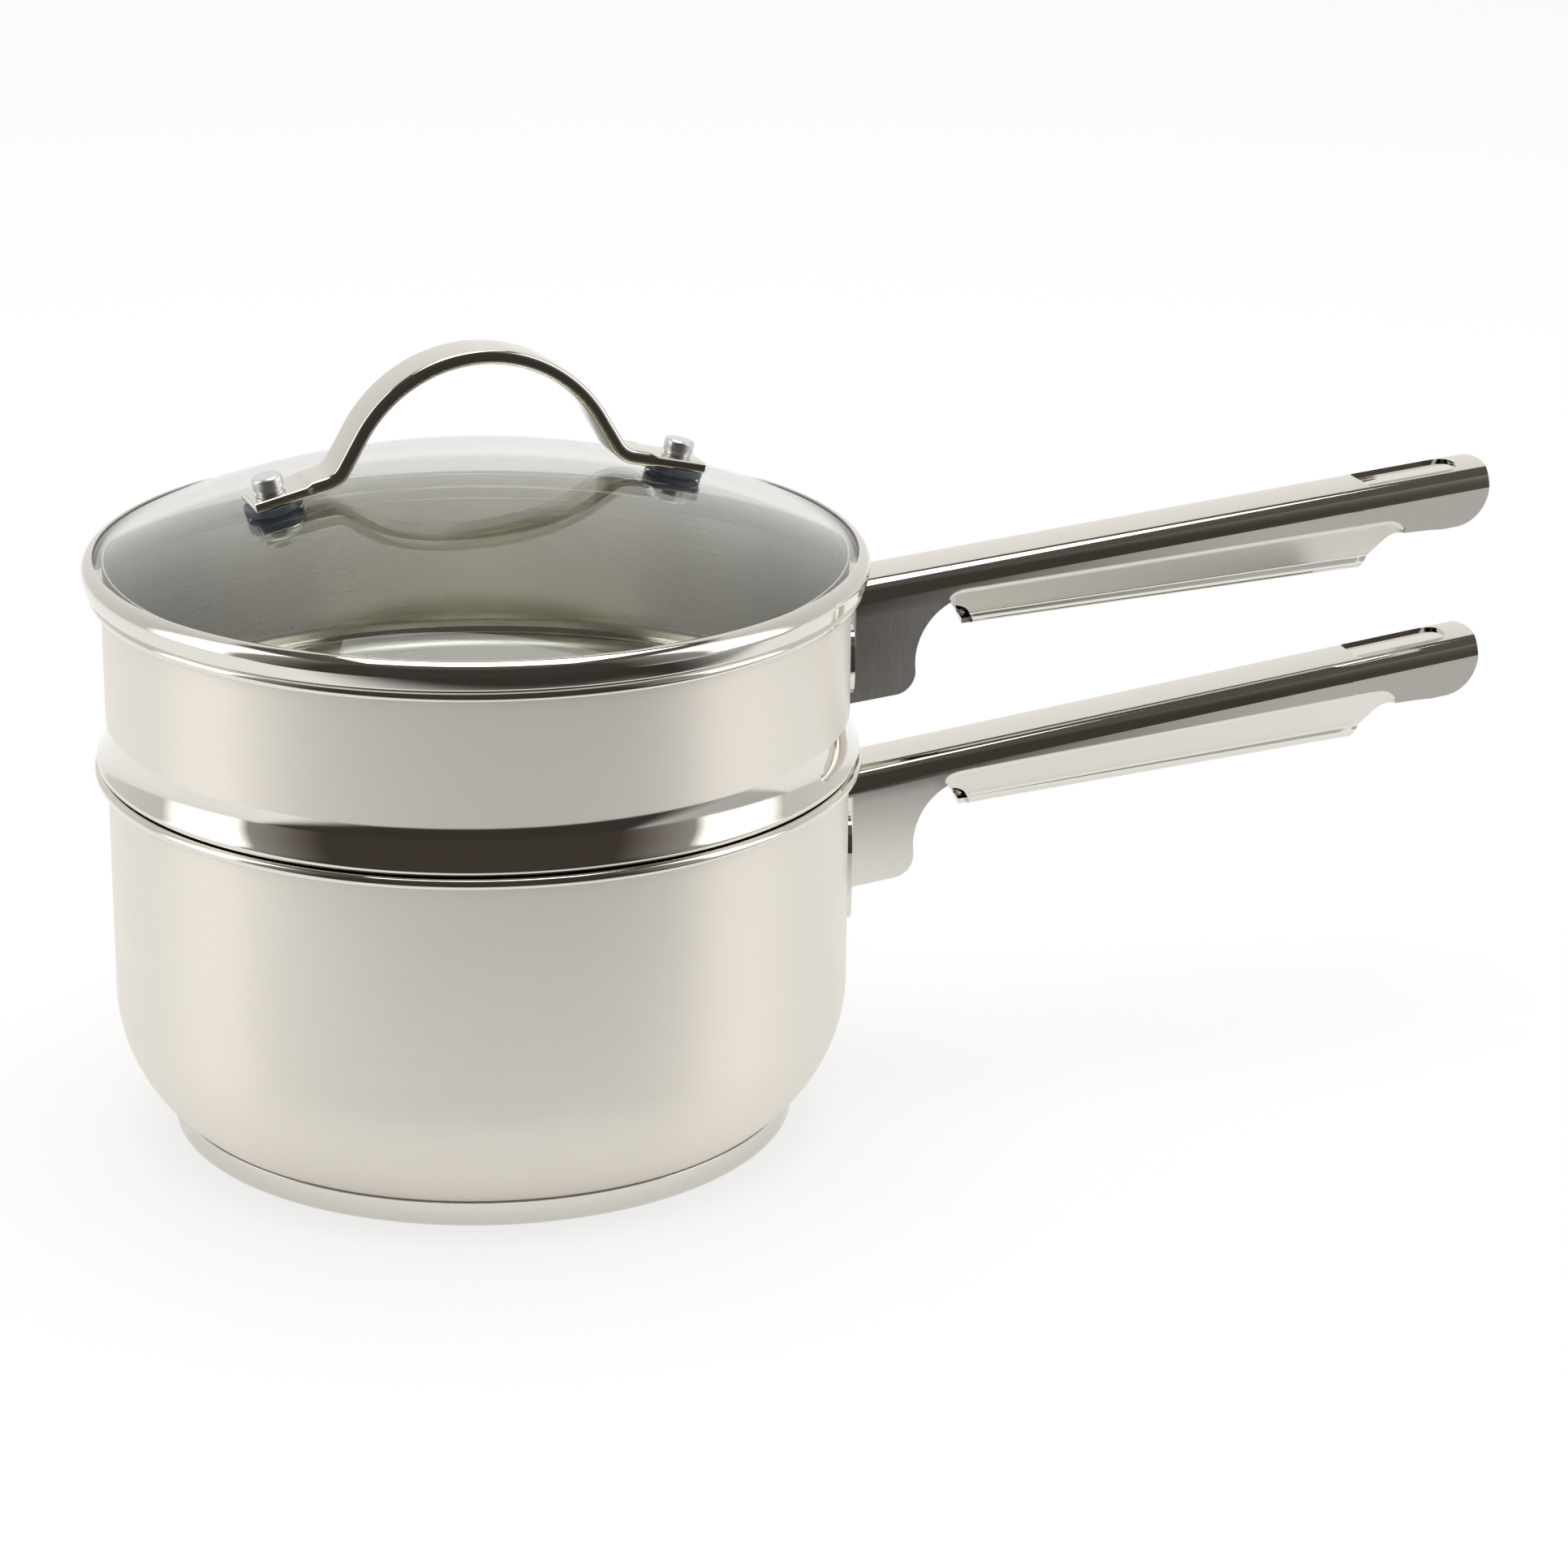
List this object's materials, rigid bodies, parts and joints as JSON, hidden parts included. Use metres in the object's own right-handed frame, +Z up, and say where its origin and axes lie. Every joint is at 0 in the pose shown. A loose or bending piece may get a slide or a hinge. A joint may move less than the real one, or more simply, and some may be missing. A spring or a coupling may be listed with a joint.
{
  "type": "double boiler",
  "caption": "Round steel double boiler: a saucepan, an insert pan seated on its rim, long folded sheet handles and a domed glass lid with a strap handle.",
  "frame": {"origin": "centre of the saucepan's underside, on the stove", "axes": "+Z up along the pans' common axis, +X along both long handles, toward their tips"},
  "size_m": [0.3288, 0.1698, 0.1738],
  "materials": {
    "satin_steel": "satin, brushed round the pan",
    "polished_steel": "mirror-polished stainless steel",
    "core_aluminium": "plain",
    "lid_glass": "clear tempered, slight green-grey tint",
    "rivet_aluminium": "turned, satin",
    "gasket_rubber": "dark blue-grey silicone, soft sheen",
    "washer_steel": "plain satin"
  },
  "bodies": {
    "saucepan": {"saucepan_shell": "satin_steel", "base_core": "core_aluminium", "base_cap": "satin_steel", "saucepan_handle": "polished_steel"},
    "insert": {"insert_shell": "satin_steel", "insert_handle": "polished_steel"},
    "lid": {"lid_glass": "lid_glass", "lid_band": "polished_steel", "lid_strap": "polished_steel", "rivet_left": "rivet_aluminium", "rivet_right": "rivet_aluminium", "upper_gasket_left": "gasket_rubber", "upper_gasket_right": "gasket_rubber", "lower_gasket_left": "gasket_rubber", "lower_gasket_right": "gasket_rubber", "washer_left": "washer_steel", "washer_right": "washer_steel"}
  },
  "joints": [
    {"name": "insert_lift", "type": "slide", "parent": "saucepan", "child": "insert", "axis": [0, 0, 1], "range_m": [0, 0.1]},
    {"name": "lid_lift", "type": "slide", "parent": "insert", "child": "lid", "axis": [0, 0, 1], "range_m": [0, 0.06]}
  ]
}
